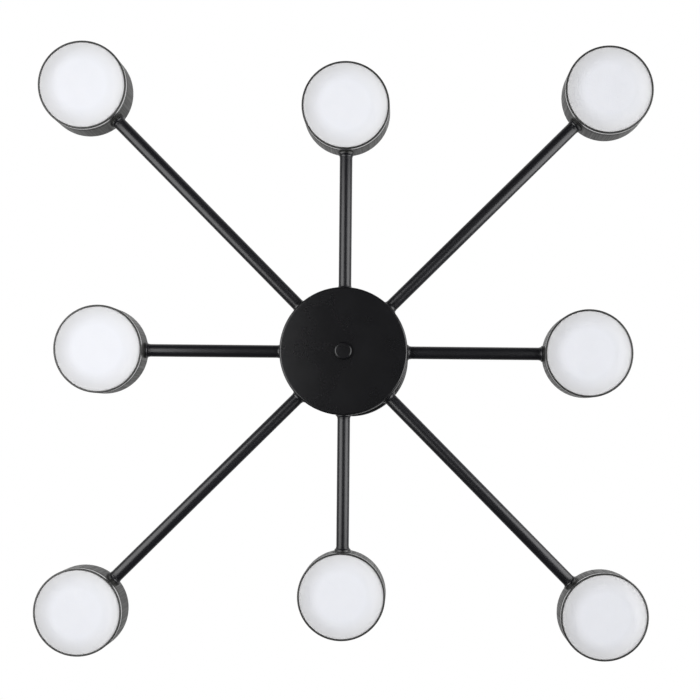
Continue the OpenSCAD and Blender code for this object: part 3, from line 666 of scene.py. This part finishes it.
for number, body, at in heads:
    place(f"front_ring_{number}", ring_mesh, satin, body, "black_aluminium", f"trim_ring_{number}", at=at)
    place(f"painted_highlight_line_{number}", line_mesh, highlight_metal, body, "black_aluminium", f"trim_ring_{number}", at=at)

# Diffusers: opal acrylic, moulded as a shallow pan with a softly domed face and a flange behind the
# ring's lip. The face is satin. Its colour is painted darker toward its rim: painted shade, standing for
# the light that the black housing behind the acrylic takes. Its moulded grain is about 0.1 mm and is
# drawn at 0.5 mm, so that it shows.
gloss, scatter = 0.15, 1.5 * mm
cloud_size, grain_size, grain_depth, grain_show = 60 * mm, 0.5 * mm, 0.03 * mm, 0.1
smoothest, roughest = 0.58, 0.66
shade_start_r, shade_full_r = 27 * mm, 48 * mm
opal = bpy.data.materials.new("opal acrylic")
opal.use_nodes = True
tree = opal.node_tree
acrylic = tree.nodes["Principled BSDF"]
acrylic.inputs["Specular IOR Level"].default_value = gloss
acrylic.inputs["Subsurface Weight"].default_value = 1
acrylic.inputs["Subsurface Radius"].default_value = (1, 1, 1)
acrylic.inputs["Subsurface Scale"].default_value = scatter
where = add(tree, "ShaderNodeTexCoord")
cloud = add(tree, "ShaderNodeTexNoise", {"Vector": where.outputs["Object"], "Scale": 1 / cloud_size})
tint = add(tree, "ShaderNodeMix", {0: cloud.outputs["Fac"], 6: srgb("#e9ebf0"), 7: srgb("#ecedf2")},
           data_type="RGBA")
across = add(tree, "ShaderNodeVectorMath", {0: where.outputs["Object"], 1: (1, 1, 0)},
             operation="MULTIPLY")
out = add(tree, "ShaderNodeVectorMath", {0: across.outputs[0]}, operation="LENGTH")
# The base colour is painted darker from shade_start_r out to shade_full_r: painted shade toward the rim.
painted_rim_shade = add(tree, "ShaderNodeMapRange", {0: out.outputs["Value"], 1: shade_start_r, 2: shade_full_r})
tint = add(tree, "ShaderNodeMix", {0: painted_rim_shade.outputs[0], 6: tint.outputs[2], 7: srgb("#dadadb")},
           data_type="RGBA")
tree.links.new(tint.outputs[2], acrylic.inputs["Base Color"])
grain = add(tree, "ShaderNodeTexNoise", {"Vector": where.outputs["Object"], "Scale": 1 / grain_size,
                                         "Detail": 2})
rough = add(tree, "ShaderNodeMapRange", {0: grain.outputs["Fac"], 3: smoothest, 4: roughest})
tree.links.new(rough.outputs[0], acrylic.inputs["Roughness"])
bump = add(tree, "ShaderNodeBump", {"Strength": grain_show, "Distance": grain_depth,
                                    "Height": grain.outputs["Fac"]})
tree.links.new(bump.outputs[0], acrylic.inputs["Normal"])

# The pan's face is flat inside dome_start_r, then curves, and ends in a straight slope back to its rim.
dome_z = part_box("diffuser_1")[0].z - pivot.z
dome_start_r, dome_steps, opal_t, rim_up = 30 * mm, 20, 1.8 * mm, 0.6 * mm
opal_r = head_r - ring_w - 2 * seat_gap
rim_z = front + rim_up
dome = []
for k in range(dome_steps + 1):
    t = k / dome_steps
    fall = 4 / 3 * t * t if t < 0.5 else (4 * t - 1) / 3
    dome.append((dome_start_r + (opal_r - dome_start_r) * t, dome_z + (rim_z - dome_z) * fall))
flange_z = front + lip_h + seat_gap
pan = [(0, dome_z)] + dome + [
    (opal_r, flange_z), (mouth_r, flange_z), (mouth_r, flange_z + flange_t),
    (opal_r - opal_t, flange_z + flange_t)] + [
    (r, z + opal_t) for r, z in reversed(dome) if r < opal_r - opal_t] + [(0, dome_z + opal_t)]
pan_mesh = lathe("opal_face", pan, steps=256)
for number, body, at in heads:
    place(f"opal_face_{number}", pan_mesh, opal, body, "opal", f"diffuser_{number}", at=at)

# LED boards: an aluminium disc under glossy white solder mask with its chips, screwed to two posts in
# the drum, and the end of the lead. They are out of sight behind the diffusers.
board_white = moulding("white solder mask", "#e2e2da", "#eaeae3", roughness=0.3, grain=0.3 * mm)
for number, body, at in heads:
    finish_node(f"led_board_{number}", board_white)
